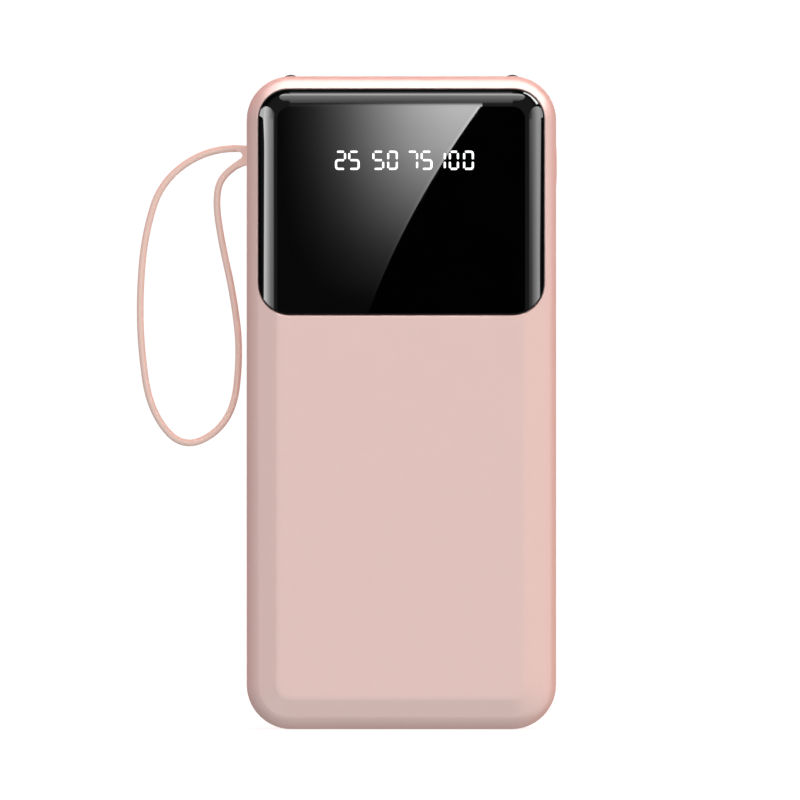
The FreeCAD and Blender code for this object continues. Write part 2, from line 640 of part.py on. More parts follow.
def build():
    nodes = {
        "front_shell": front_shell(),
        "rear_shell": rear_shell(),
        "display_window": display_window(),
        "window_adhesive": window_adhesive(),
        "port_plate": port_plate(),
        "power_button": power_button(),
        "torch_lamp_left": torch_lamp(-LAMP_X),
        "torch_lamp_right": torch_lamp(LAMP_X),
        "torch_lamp_leads": lamp_leads(),
        "main_board": main_board(),
        "board_screws": board_screws(),
        "display_leds": display_leds(),
        "power_inductors": inductors(),
        "round_capacitors": round_capacitors(),
        "battery_lead_positive": battery_lead(6.0),
        "battery_lead_negative": battery_lead(-6.0),
        "protection_board": block((-GUARD_HALF, GUARD_HALF), (-0.4, 0.4),
                                  (GUARD_LOW, GUARD_HIGH), radius=0.5, along="y"),
        "protection_chips": guard_chips(),
        "wrist_strap": wrist_strap(),
        "strap_root": strap_root(),
    }
    for name, x in (("left", -USB_A_X), ("right", USB_A_X)):
        shell, insulator, contacts = usb_a(x)
        nodes["usb_a_%s_shell" % name] = shell
        nodes["usb_a_%s_insulator" % name] = insulator
        nodes["usb_a_%s_contacts" % name] = contacts
    nodes["usb_c_shell"], nodes["usb_c_insulator"], nodes["usb_c_contacts"] = usb_c()

    segments = display_segments()
    nodes["display_segments"] = segments
    nodes["display_housing"] = display_housing(segments)

    body, stem, cover, dome, terminals = side_switch()
    nodes.update(switch_body=body, switch_stem=stem, switch_cover=cover,
                 switch_dome=dome, switch_terminals=terminals)

    nodes["controller_chip"] = chips([(0.0, 124.0)], (5.0, 5.0), 0.85)
    nodes["power_transistors"] = chips(
        [(x, z) for x in (-7.4, 7.4) for z in (122.4, 126.1)], (3.3, 3.3), 0.9)
    nodes["ceramic_capacitors"] = chips(
        [(x, 128.5) for x in (-20.0, -15.6, -11.2, -2.2, 2.2, 11.2, 15.6, 20.0)],
        (1.6, 0.8), 0.8, 0.05)
    nodes["chip_resistors"] = chips(
        [(side * x, 116.8) for side in (-1, 1) for x in (10.0, 13.0, 16.0, 19.0, 22.0)],
        (1.0, 0.5), 0.35, 0.05)

    for name, side in (("front", -1), ("rear", 1)):
        nodes["battery_cell_%s" % name] = pouch_cell(side)
        nodes["battery_tabs_%s" % name] = cell_tabs(side)
    nodes["cell_tape"] = block((-20, 20), (-0.1, 0.1), (12, 98), radius=1.0, along="y")
    nodes["tab_tape"] = group([
        block(around(x, 8.0), sorted((side * 0.6, side * 0.7)), (109.4, 113.6))
        for x in (-12.0, 12.0) for side in (-1, 1)])
    nodes["foam_pad_front"] = block((-22, 22), (WALL - DEPTH / 2, -0.1 - CELL_THICK),
                                    (8, 86), radius=2.0, along="y")
    nodes["foam_pad_rear"] = block((-22, 22), (0.1 + CELL_THICK, DEPTH / 2 - WALL),
                                   (8, 100), radius=2.0, along="y")
    sheet = block((-28.5, 28.5), (-7.2, 6.8), (114.6, 114.8), radius=1.5, along="z")
    for x in (-6.0, 6.0):
        sheet = sheet.cut(rod(Vector(x, 1.1, 114), Vector(x, 1.1, 116), 0.9))
    nodes["insulation_sheet"] = sheet
    return nodes


os.makedirs("parts", exist_ok=True)
for node, shape in sorted(build().items()):
    if not shape.isValid() or not shape.Solids:
        print("PROBLEM: %s is not a valid solid" % node)
    shape.exportStep("parts/%s.step" % node)
    box = shape.BoundBox
    print("%-24s %3d solid(s) %10.2f mm3   x %.2f..%.2f  y %.2f..%.2f  z %.2f..%.2f" % (
        node, len(shape.Solids), shape.Volume,
        box.XMin, box.XMax, box.YMin, box.YMax, box.ZMin, box.ZMax))
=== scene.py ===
"""Looks of a pocket power bank with a black display window and a wrist strap.

Everything is in metres in the CAD frame: the casing stands on z = 0, -Y is its front and
+X its right side. The CAD nodes keep their shapes and get materials. Three pieces are
made here: the strap's cord, the fork that it grows from, and the lit figures.
"""

import json
import math

import bmesh
import bpy
from mathutils import Matrix, Vector

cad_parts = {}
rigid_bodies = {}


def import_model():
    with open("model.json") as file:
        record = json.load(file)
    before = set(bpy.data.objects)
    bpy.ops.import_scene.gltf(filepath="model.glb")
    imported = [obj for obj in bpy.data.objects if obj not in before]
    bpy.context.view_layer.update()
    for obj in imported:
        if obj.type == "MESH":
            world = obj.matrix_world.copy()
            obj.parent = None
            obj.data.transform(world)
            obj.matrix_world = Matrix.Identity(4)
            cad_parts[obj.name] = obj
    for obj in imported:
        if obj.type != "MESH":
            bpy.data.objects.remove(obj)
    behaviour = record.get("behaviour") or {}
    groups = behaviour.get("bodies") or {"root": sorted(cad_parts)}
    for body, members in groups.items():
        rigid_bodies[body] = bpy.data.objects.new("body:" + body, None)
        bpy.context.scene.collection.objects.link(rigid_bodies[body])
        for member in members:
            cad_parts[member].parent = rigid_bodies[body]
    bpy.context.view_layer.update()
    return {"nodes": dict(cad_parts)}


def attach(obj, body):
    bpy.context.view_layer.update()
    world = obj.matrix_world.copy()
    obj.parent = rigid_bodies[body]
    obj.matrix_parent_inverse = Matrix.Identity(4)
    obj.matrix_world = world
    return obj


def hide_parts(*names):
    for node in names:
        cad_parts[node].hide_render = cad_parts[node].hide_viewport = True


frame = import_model()
scene = bpy.context.scene

MM = 0.001
RIGHTWARDS, FORWARDS, UPWARDS = Vector((1, 0, 0)), Vector((0, -1, 0)), Vector((0, 0, 1))

# ---------------------------------------------------------------- camera

CAMERA_AT, CAMERA_AIM = Vector((0.0157, -2.0, 0.0721)), Vector((-0.00034, 0.0, 0.0721))
LENS_MM, SENSOR_MM = 409.9, 36.0
NEAREST, FARTHEST = 0.05, 50.0


def make_camera():
    data = bpy.data.cameras.new("camera")
    data.sensor_width = SENSOR_MM
    data.lens = LENS_MM
    data.clip_start = NEAREST
    data.clip_end = FARTHEST
    camera = bpy.data.objects.new("camera", data)
    camera.location = CAMERA_AT
    camera.rotation_euler = (CAMERA_AIM - CAMERA_AT).to_track_quat("-Z", "Y").to_euler()
    scene.collection.objects.link(camera)
    scene.camera = camera


make_camera()

# ---------------------------------------------------------------- wrist strap

# In metres, apart from the route.
STRAP_DIAMETER = 0.0015
STRAP_STEPS, STRAP_SIDES = 24, 8          # how finely the cord is divided along and round
# The route that the strap's CAD tube follows, in millimetres.
STRAP_ROUTE = [
    (-35.0, 0.0, 127.25), (-41.7, 0.0, 127.7), (-52.6, -0.9, 120.5), (-56.3, -1.8, 108.6),
    (-57.4, -2.4, 95.9), (-57.2, -2.4, 84.0), (-55.2, -1.7, 69.6), (-47.6, -0.4, 60.8),
    (-37.2, 0.9, 67.4), (-35.4, 1.6, 82.2), (-36.9, 1.8, 94.9), (-39.7, 1.2, 107.4),
    (-40.9, 0.5, 116.4), (-39.3, 0.1, 121.9), (-35.0, 0.0, 124.35),
]


def make_strap_cord():
    """The strap's cord, one smooth curve from its exit back to the fork."""
    curve = bpy.data.curves.new("strap_cord", "CURVE")
    curve.dimensions = "3D"
    curve.resolution_u = STRAP_STEPS
    curve.bevel_depth = STRAP_DIAMETER / 2
    curve.bevel_resolution = STRAP_SIDES
    curve.use_fill_caps = True
    spline = curve.splines.new("NURBS")
    spline.points.add(len(STRAP_ROUTE) - 1)
    for point, (x, y, z) in zip(spline.points, STRAP_ROUTE):
        point.co = (x * MM, y * MM, z * MM, 1.0)
    spline.order_u = 3
    spline.use_endpoint_u = True
    cord = bpy.data.objects.new("strap_cord", curve)
    scene.collection.objects.link(cord)
    return cord


strap_cord = make_strap_cord()

# ---------------------------------------------------------------- mesh helpers


def link_mesh(name, mesh):
    piece = bpy.data.objects.new(name, mesh)
    scene.collection.objects.link(piece)
    return piece


def mesh_from(name, vertices, faces):
    mesh = bpy.data.meshes.new(name)
    mesh.from_pydata(vertices, [], faces)
    mesh.validate()
    return mesh


def baked(piece):
    """Apply a piece's modifiers to its mesh."""
    depsgraph = bpy.context.evaluated_depsgraph_get()
    mesh = bpy.data.meshes.new_from_object(piece.evaluated_get(depsgraph))
    piece.modifiers.clear()
    piece.data = mesh
    mesh.shade_smooth()
    return piece


def between(table, at):
    """Linear interpolation in a table of (position, value), held at its ends."""
    if at <= table[0][0]:
        return table[0][1]
    for (a, low), (b, high) in zip(table, table[1:]):
        if at <= b:
            return low + (high - low) * (at - a) / (b - a)
    return table[-1][1]


def linear(level):
    """The linear light of a display level from 0 to 1, by the sRGB curve."""
    if level <= 0.04045:
        return level / 12.92
    return ((level + 0.055) / 1.055) ** 2.4


def turned(vector, angle):
    """A flat vector turned anticlockwise by an angle in radians."""
    cos, sin = math.cos(angle), math.sin(angle)
    return Vector((vector.x * cos - vector.y * sin, vector.x * sin + vector.y * cos))

# ---------------------------------------------------------------- strap fork

# In millimetres. The outline's places are x and z.
FORK_TIP = -36.2
FORK_NOTCH, FORK_NOTCH_RADIUS = (-35.75, 125.8), 0.8
FORK_NOTCH_FROM, FORK_NOTCH_STEP, FORK_NOTCH_STEPS = 95, 11, 15    # degrees round it
FORK_ABOVE = [(-32.6, 127.95), (-33.9, 127.95), (-35.2, 127.95), (FORK_TIP, 128.0)]
FORK_BELOW = [(FORK_TIP, 124.50), (FORK_TIP, 123.0), (-35.2, 123.35), (-33.9, 123.62),
              (-32.6, 123.62)]
FORK_TAPER = [(FORK_TIP, 0.70), (-33.9, 0.98)]      # half the thickness, by x
FORK_PRONGS = [  # where each strand leaves, its direction, and its radius there and at its end
    ((-34.6, 0.0, 127.22), (-1.0, 0.0, 0.067), 0.80, 0.70),
    ((-34.3, 0.0, 124.60), (-0.869, 0.0, -0.495), 0.86, 0.70),
]
FORK_REACH, FORK_SIDES = 2.8, 32                    # the length and roundness of a prong
FORK_VOXEL = 0.09 * MM
FORK_SMOOTHING, FORK_SMOOTHINGS = 0.5, 12           # how far each pass goes, and the passes


def fork_outline():
    """The slab's outline in x and z, with the round notch between the two strands."""
    x, z = FORK_NOTCH
    turns = [math.radians(FORK_NOTCH_FROM - FORK_NOTCH_STEP * i)
             for i in range(FORK_NOTCH_STEPS + 1)]
    notch = [(x + FORK_NOTCH_RADIUS * math.cos(turn), z + FORK_NOTCH_RADIUS * math.sin(turn))
             for turn in turns]
    return FORK_ABOVE + [(FORK_TIP, notch[0][1])] + notch + FORK_BELOW


def make_strap_fork():
    """The moulded end of the strap: a flat slab that parts into the two strands."""
    shape = bmesh.new()
    outline = fork_outline()
    sides = []
    for side in (-1, 1):
        sides.append([shape.verts.new((x * MM, side * between(FORK_TAPER, x) * MM, z * MM))
                      for x, z in outline])
        shape.faces.new(sides[-1])
    for i in range(len(outline)):
        after = (i + 1) % len(outline)
        shape.faces.new((sides[0][i], sides[0][after], sides[1][after], sides[1][i]))
    bmesh.ops.triangulate(shape, faces=shape.faces)
    for start, direction, near, far in FORK_PRONGS:
        start = Vector(start) * MM
        along = Vector(direction).normalized()
        turn = along.to_track_quat("Z", "Y").to_matrix().to_4x4()
        middle = start + along * FORK_REACH * MM / 2
        bmesh.ops.create_cone(shape, cap_ends=True, segments=FORK_SIDES,
                              radius1=near * MM, radius2=far * MM, depth=FORK_REACH * MM,
                              matrix=Matrix.Translation(middle) @ turn)
    bmesh.ops.recalc_face_normals(shape, faces=shape.faces)
    mesh = bpy.data.meshes.new("strap_fork")
    shape.to_mesh(mesh)
    shape.free()
    fork = link_mesh("strap_fork", mesh)
    remesh = fork.modifiers.new("remesh", "REMESH")
    remesh.mode = "VOXEL"
    remesh.voxel_size = FORK_VOXEL
    smooth = fork.modifiers.new("smooth", "SMOOTH")
    smooth.factor = FORK_SMOOTHING
    smooth.iterations = FORK_SMOOTHINGS
    return baked(fork)


strap_fork = make_strap_fork()

# ---------------------------------------------------------------- lit figures

# In millimetres.
WINDOW_FACE = -10.92                     # the y of the window's flat front
FIGURE_STROKE = 0.45
FIGURE_ROUND = 0.50                      # centre-line radius where two bars run together
FIGURE_PROUD, FIGURE_SUNK = 0.012, 0.01
ARC_STEPS, CAP_STEPS = 6, 8
BAR_HIGH, BAR_MIDDLE, BAR_LOW = 126.32, 124.48, 122.58
UPPER, LOWER = (125.80, 124.90), (123.90, 122.95)   # the ends of the upright bars
BAR_FROM, BAR_TO = 0.22, 0.78                       # the ends of the level bars, across a figure

# Each figure: its kind and the x of its left and right uprights.
FIGURES = [
    ("2", -14.22, -12.26), ("5", -11.33, -9.29), ("5 gaps", -6.05, -3.93),
    ("0 right", -2.83, -0.95), ("7", 1.44, 3.48), ("5", 4.49, 6.62), ("1", 9.53, 9.53),
    ("0 gaps", 10.64, 12.39), ("0 right", 13.76, 15.65),
]

LEVEL_HIGH = [(BAR_FROM, BAR_HIGH), (BAR_TO, BAR_HIGH)]
LEVEL_MIDDLE = [(BAR_FROM, BAR_MIDDLE), (BAR_TO, BAR_MIDDLE)]
LEVEL_LOW = [(BAR_FROM, BAR_LOW), (BAR_TO, BAR_LOW)]
UPPER_LEFT, UPPER_RIGHT = [(0, UPPER[0]), (0, UPPER[1])], [(1, UPPER[0]), (1, UPPER[1])]
LOWER_LEFT, LOWER_RIGHT = [(0, LOWER[0]), (0, LOWER[1])], [(1, LOWER[0]), (1, LOWER[1])]
BARS = {
    "1": [UPPER_LEFT, LOWER_LEFT],
    "2": [LEVEL_HIGH, UPPER_RIGHT,
          [(BAR_TO, BAR_MIDDLE), (0, BAR_MIDDLE), (0, BAR_LOW), (BAR_TO, BAR_LOW)]],
    "5": [LEVEL_HIGH, UPPER_LEFT,
          [(BAR_FROM, BAR_MIDDLE), (1, BAR_MIDDLE), (1, BAR_LOW), (BAR_FROM, BAR_LOW)]],
    "5 gaps": [LEVEL_HIGH, UPPER_LEFT, LEVEL_MIDDLE, LOWER_RIGHT, LEVEL_LOW],
    "7": [LEVEL_HIGH, UPPER_RIGHT, LOWER_RIGHT],
    "0 gaps": [LEVEL_HIGH, UPPER_LEFT, UPPER_RIGHT, LOWER_LEFT, LOWER_RIGHT, LEVEL_LOW],
    "0 right": [[(BAR_FROM, BAR_HIGH), (1, BAR_HIGH), (1, UPPER[1])],
                UPPER_LEFT, LOWER_LEFT,
                [(1, LOWER[0]), (1, BAR_LOW), (BAR_FROM, BAR_LOW)]],
}


def rounded_path(points, radius):
    """A path through the points with an arc at each inner one."""
    path = [points[0]]
    for before, here, after in zip(points, points[1:], points[2:]):
        back = (before - here).normalized()
        ahead = (after - here).normalized()
        half = back.angle(ahead) / 2
        tangent = radius / math.tan(half)
        centre = here + (back + ahead).normalized() * radius / math.sin(half)
        start = here + back * tangent - centre
        turn = start.angle_signed(here + ahead * tangent - centre)
        path += [centre + turned(start, -turn * i / ARC_STEPS) for i in range(ARC_STEPS + 1)]
    return path + [points[-1]]


def bar_outline(points, width):
    """The outline of a bar with round ends along a path."""
    path = rounded_path(points, FIGURE_ROUND)
    half = width / 2
    normals = []
    for i in range(len(path)):
        along = (path[min(i + 1, len(path) - 1)] - path[max(i - 1, 0)]).normalized()
        normals.append(Vector((-along.y, along.x)))
    outline = [point + normal * half for point, normal in zip(path, normals)]
    turns = [-math.pi * i / CAP_STEPS for i in range(1, CAP_STEPS)]
    outline += [path[-1] + turned(normals[-1], turn) * half for turn in turns]
    outline += [point - normal * half for point, normal in zip(path[::-1], normals[::-1])]
    outline += [path[0] + turned(-normals[0], turn) * half for turn in turns]
    return outline


def make_figures():
    """The charge figures as thin lit plates in the window's face."""
    vertices, faces = [], []
    front, back = WINDOW_FACE - FIGURE_PROUD, WINDOW_FACE + FIGURE_SUNK
    for kind, left, right in FIGURES:
        for bar in BARS[kind]:
            points = [Vector((left + (right - left) * u, z)) for u, z in bar]
            outline = bar_outline(points, FIGURE_STROKE)
            count, first = len(outline), len(vertices)
            for y in (front, back):
                vertices += [(p.x * MM, y * MM, p.y * MM) for p in outline]
            near = [first + i for i in range(count)]
            far = [first + count + i for i in range(count)]
            faces += [near[::-1], far]
            faces += [(near[i], near[(i + 1) % count], far[(i + 1) % count], far[i])
                      for i in range(count)]
    mesh = mesh_from("lit_figures", vertices, faces)
    shape = bmesh.new()
    shape.from_mesh(mesh)
    bmesh.ops.recalc_face_normals(shape, faces=shape.faces)
    shape.to_mesh(mesh)
    shape.free()
    return link_mesh("lit_figures", mesh)


lit_figures = make_figures()

# ---------------------------------------------------------------- materials

# How often a pattern repeats along x, y and z: small is drawn out.
EVEN, DRAWN_UP, DRAWN_ACROSS = (1, 1, 1), (1, 1, 0.06), (0.08, 1, 1)


class Shader:
    """A node material with a principled surface, in object coordinates."""

    def __init__(self, name):
        self.material = bpy.data.materials.new(name)
        self.material.use_nodes = True
        self.nodes = self.material.node_tree.nodes
        self.links = self.material.node_tree.links
        self.surface = self.nodes["Principled BSDF"]
        self.place = self.nodes.new("ShaderNodeTexCoord").outputs["Object"]

    def node(self, kind, inputs=None, **settings):
        made = self.nodes.new(kind)
        for key, value in settings.items():
            setattr(made, key, value)
        for key, value in (inputs or {}).items():
            if isinstance(value, bpy.types.NodeSocket):
                self.links.new(value, made.inputs[key])
            else:
                made.inputs[key].default_value = value
        return made

    def set(self, key, value):
        if isinstance(value, bpy.types.NodeSocket):
            self.links.new(value, self.surface.inputs[key])
        else:
            self.surface.inputs[key].default_value = value

    def noise(self, size, detail=3.0, stretch=EVEN):
        """A 0 to 1 noise whose features are about the given size in metres."""
        place = self.node("ShaderNodeMapping", {"Vector": self.place, "Scale": stretch})
        made = self.node("ShaderNodeTexNoise", {
            "Vector": place.outputs["Vector"], "Scale": 1.0 / size, "Detail": detail})
        return made.outputs["Fac"]

    def cells(self, size):
        """The distances from the middles of cells of about the given size in metres."""
        made = self.node("ShaderNodeTexVoronoi", {"Vector": self.place, "Scale": 1.0 / size})
        return made.outputs["Distance"]

    def ranged(self, value, low, high):
        """A 0 to 1 value taken to between two limits."""
        made = self.node("ShaderNodeMapRange", {
            "Value": value, "To Min": low, "To Max": high})
        return made.outputs["Result"]

    def mixed(self, factor, first, second):
        """One colour going over to another. Sockets 6, 7 and 2 are the ones for colours."""
        made = self.node("ShaderNodeMix", data_type="RGBA")
        self.links.new(factor, made.inputs["Factor"])
        made.inputs[6].default_value = (*first, 1.0)
        made.inputs[7].default_value = (*second, 1.0)
        return made.outputs[2]

    def colour(self, base, spread, size, stretch=EVEN):
        """A base colour that drifts a little lighter and darker. Its socket keeps the plain one."""
        self.surface.inputs["Base Color"].default_value = (*base, 1.0)
        darker = [channel * (1 - spread) for channel in base]
        lighter = [min(1.0, channel * (1 + spread)) for channel in base]
        drift = self.noise(size, detail=4.0, stretch=stretch)
        self.set("Base Color", self.mixed(drift, darker, lighter))

    def bump(self, height, depth, under=None):
        """Relief of the given depth in metres, over any relief already made."""
        inputs = {"Height": height, "Distance": depth, "Strength": 1.0}
        if under is not None:
            inputs["Normal"] = under
        made = self.node("ShaderNodeBump", inputs)
        self.set("Normal", made.outputs["Normal"])
        return made.outputs["Normal"]


WHITE = (1.0, 1.0, 1.0, 1.0)
UNEVEN, UNEVEN_SIZE = 0.15, 0.6          # shares of the roughness and of the colour's drift


def plain(name, base, roughness, metallic=0.0, spread=0.05, spread_size=4 * MM,
          grain=0.25 * MM, depth=0.004 * MM, stretch=EVEN, coat=0.0):
    """Moulded, plated or printed matter: drifting colour, uneven gloss and a fine grain."""
    shader = Shader(name)
    shader.colour(base, spread, spread_size, stretch)
    shader.set("Metallic", metallic)
    shader.set("Coat Weight", coat)
    uneven = shader.noise(spread_size * UNEVEN_SIZE, stretch=stretch)
    shader.set("Roughness", shader.ranged(uneven, roughness * (1 - UNEVEN),
                                          roughness * (1 + UNEVEN)))
    shader.bump(shader.noise(grain, detail=2.0, stretch=stretch), depth)
    return shader


SHELL_PINK = (0.790, 0.530, 0.485)


def shell_plastic(name):
    """Soft-touch lacquer over moulded plastic: a velvety grain and a low broad gloss."""
    return plain(name, SHELL_PINK, roughness=0.32, spread=0.012, spread_size=9 * MM,
                 grain=0.16 * MM, depth=0.0012 * MM)


def window_gloss(name):
    """Polished black acrylic with the faintest wiping marks."""
    shader = Shader(name)
    shader.colour((0.0006, 0.0006, 0.0007), spread=0.3, size=12 * MM)
    marks = shader.noise(7 * MM, detail=4.0, stretch=(1, 1, 3))
    shader.set("Roughness", shader.ranged(marks, 0.002, 0.010))
    return shader


def plate_gloss(name):
    """Glossy black moulding, a little rippled."""
    return plain(name, (0.012, 0.012, 0.013), roughness=0.12, spread=0.2, spread_size=6 * MM,
                 grain=0.4 * MM, depth=0.0006 * MM)


def lamp_resin(name):
    """Smoky clear resin, partly see-through and a little cloudy."""
    shader = plain(name, (0.085, 0.062, 0.065), roughness=0.12, spread=0.15,
                   spread_size=0.8 * MM, grain=0.5 * MM, depth=0.002 * MM)
    shader.set("Transmission Weight", 0.25)
    shader.set("Subsurface Weight", 0.2)
    shader.set("Subsurface Radius", (0.6 * MM, 0.5 * MM, 0.5 * MM))
    return shader


def strap_silicone(name):
    """Matt silicone with a faint skin and dust-like grain."""
    shader = plain(name, (0.915, 0.618, 0.536), roughness=0.5, spread=0.02,
                   spread_size=3 * MM, grain=0.6 * MM, depth=0.0008 * MM)
    shader.set("Specular IOR Level", 0.3)
    shader.set("Sheen Weight", 0.35)
    shader.set("Sheen Roughness", 0.4)
    return shader


FIGURE_LIGHT, FIGURE_MOTTLE = 0.9, 1.1   # the least light, and what the most is times that


def display_digits(name):
    """Evenly lit white diffuser with a slight mottle."""
    shader = plain(name, (0.9, 0.91, 0.93), roughness=0.4, spread=0.02, spread_size=0.6 * MM)
    mottle = shader.ranged(shader.noise(0.5 * MM), FIGURE_LIGHT, FIGURE_LIGHT * FIGURE_MOTTLE)
    shader.set("Emission Color", WHITE)
    shader.set("Emission Strength", mottle)
    return shader


def board_laminate(name):
    """Green solder mask over woven glass, with copper pours showing as paler areas."""
    shader = Shader(name)
    pours = shader.noise(5 * MM, detail=1.0)
    edge = shader.node("ShaderNodeMapRange", {"Value": pours, "From Min": 0.49,
                                              "From Max": 0.51}).outputs["Result"]
    green, pale = (0.012, 0.115, 0.050), (0.025, 0.180, 0.080)
    shader.set("Base Color", shader.mixed(edge, green, pale))
    shader.set("Roughness", 0.32)
    shader.set("Coat Weight", 0.3)
    shader.bump(edge, depth=0.03 * MM)
    return shader


def cell_pouch(name):
    """Aluminium laminate pouch: satin, slightly crinkled and embossed."""
    shader = Shader(name)
    shader.colour((0.60, 0.61, 0.63), spread=0.06, size=8 * MM)
    shader.set("Metallic", 0.9)
    shader.set("Roughness", shader.ranged(shader.noise(3 * MM), 0.28, 0.42))
    creases = shader.bump(shader.noise(6 * MM, detail=5.0), depth=0.12 * MM)
    shader.bump(shader.cells(0.5 * MM), depth=0.008 * MM, under=creases)
    return shader


def foam(name):
    """Dark foam with its cut cells showing."""
    shader = Shader(name)
    shader.colour((0.055, 0.055, 0.058), spread=0.2, size=1.5 * MM)
    shader.set("Roughness", 0.95)
    shader.set("Sheen Weight", 0.3)
    shader.bump(shader.cells(0.35 * MM), depth=0.12 * MM)
    return shader


def ferrite(name):
    """Sintered ferrite: dark, matt and finely pitted."""
    shader = Shader(name)
    shader.colour((0.055, 0.055, 0.060), spread=0.25, size=0.8 * MM)
    shader.set("Roughness", 0.6)
    shader.bump(shader.cells(0.18 * MM), depth=0.015 * MM)
    return shader


def brushed(name, base, roughness, stretch=DRAWN_UP):
    """Bare metal with a fine grain, even or drawn out along z or x."""
    return plain(name, base, roughness, metallic=1.0, spread=0.06, spread_size=1.5 * MM,
                 grain=0.08 * MM, depth=0.0015 * MM, stretch=stretch)


FINISHES = {
    "shell_plastic": shell_plastic,
    "window_gloss": window_gloss,
    "plate_gloss": plate_gloss,
    "lamp_resin": lamp_resin,
    "strap_silicone": strap_silicone,
    "display_digits": display_digits,
    "board_laminate": board_laminate,
    "cell_pouch": cell_pouch,
    "foam": foam,
    "ferrite": ferrite,
    "port_steel": lambda name: brushed(name, (0.62, 0.61, 0.59), 0.24),
    "screw_steel": lambda name: brushed(name, (0.55, 0.55, 0.56), 0.30, EVEN),
    "tinned_wire": lambda name: brushed(name, (0.70, 0.69, 0.66), 0.25, DRAWN_ACROSS),
    "cell_tab": lambda name: brushed(name, (0.66, 0.64, 0.60), 0.33),
    "contact_gold": lambda name: brushed(name, (0.86, 0.63, 0.27), 0.20),
    "capacitor_can": lambda name: brushed(name, (0.72, 0.72, 0.74), 0.28, DRAWN_ACROSS),
    "insulator_plastic": lambda name: plain(name, (0.020, 0.020, 0.021), 0.5),
    "housing_plastic": lambda name: plain(name, (0.045, 0.045, 0.047), 0.55),
    "led_chip": lambda name: plain(name, (0.82, 0.74, 0.42), 0.35, spread=0.12,
                                   spread_size=0.5 * MM),
    "stem_plastic": lambda name: plain(name, (0.74, 0.74, 0.72), 0.45),
    "chip_epoxy": lambda name: plain(name, (0.030, 0.030, 0.032), 0.62, grain=0.12 * MM,
                                     depth=0.006 * MM),
    "ceramic_tan": lambda name: plain(name, (0.42, 0.29, 0.17), 0.5, spread=0.1,
                                      spread_size=0.7 * MM),
    "adhesive_tape": lambda name: plain(name, (0.035, 0.035, 0.036), 0.7, grain=0.5 * MM,
                                        depth=0.02 * MM),
    "amber_tape": lambda name: plain(name, (0.56, 0.24, 0.035), 0.18, spread=0.1, coat=0.5,
                                     grain=2 * MM, depth=0.04 * MM),
    "wire_red": lambda name: plain(name, (0.50, 0.020, 0.016), 0.42),
    "wire_black": lambda name: plain(name, (0.020, 0.020, 0.020), 0.45),
    "insulation_film": lambda name: plain(name, (0.66, 0.65, 0.58), 0.6, spread=0.06,
                                          grain=0.3 * MM, depth=0.01 * MM),
}


def finish_materials():
    """Give every CAD node the finish of its slot, and return the materials made."""
    made = {}
    for node in frame["nodes"].values():
        for slot in node.material_slots:
            name = slot.material.name.split(".")[0]
            if name not in made:
                made[name] = FINISHES[name](name + "_finish").material
            slot.material = made[name]
    return made


materials = finish_materials()

for piece, slot, node in ((strap_cord, "strap_silicone", "wrist_strap"),
                          (strap_fork, "strap_silicone", "strap_root"),
                          (lit_figures, "display_digits", "display_segments")):
    piece.data.materials.clear()
    piece.data.materials.append(materials[slot])
    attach(piece, "casing")
    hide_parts(node)

# ---------------------------------------------------------------- floor and lights

FLOOR_RADIUS, FLOOR_SIDES, FLOOR_DROP = 3.0, 96, 0.05 * MM
FLOOR_TONE, FLOOR_GLOW = (0.30, 0.30, 0.30), 0.82


def make_floor():
    """A plain pale floor just under the casing."""
    shape = bmesh.new()
    bmesh.ops.create_circle(shape, cap_ends=True, segments=FLOOR_SIDES, radius=FLOOR_RADIUS,
                            matrix=Matrix.Translation((0, 0, -FLOOR_DROP)))
    mesh = bpy.data.meshes.new("floor")
    shape.to_mesh(mesh)
    shape.free()
    floor = link_mesh("floor", mesh)
    shader = plain("floor_paint", FLOOR_TONE, 0.9, spread=0.004, spread_size=80 * MM,
                   grain=2 * MM, depth=0.01 * MM)
    shader.set("Specular IOR Level", 0.0)
    shader.set("Emission Color", WHITE)
    shader.set("Emission Strength", FLOOR_GLOW)
    mesh.materials.append(shader.material)
    floor.visible_diffuse = False
    floor.visible_glossy = False


make_floor()

# The light that reaches matt surfaces: for red, green and blue, a level, how it leans, how
# much it gains towards straight up and straight down, and how much it gains behind.
SOFT = [
    (0.630, (0.270, -0.110, 0.480), 0.45, 0.55),
    (0.430, (0.175, -0.560, 0.250), 0.20, 2.08),
    (0.390, (0.130, -0.640, 0.205), 0.18, 2.38),
]
POLE_POWER, REAR_POWER = 2.0, 4.0        # how closely those two gains are gathered
BACKDROP = 1.05                          # the level of the surroundings themselves
# What polished surfaces mirror, by the angle from straight ahead of the front, in degrees.
MIRRORED = [(0, 0.0), (3.5, 0.0), (7, 0.22), (52, 0.22), (57, 0.02), (84, 0.02), (100, 0.12),
            (145, 0.25), (180, 0.6)]


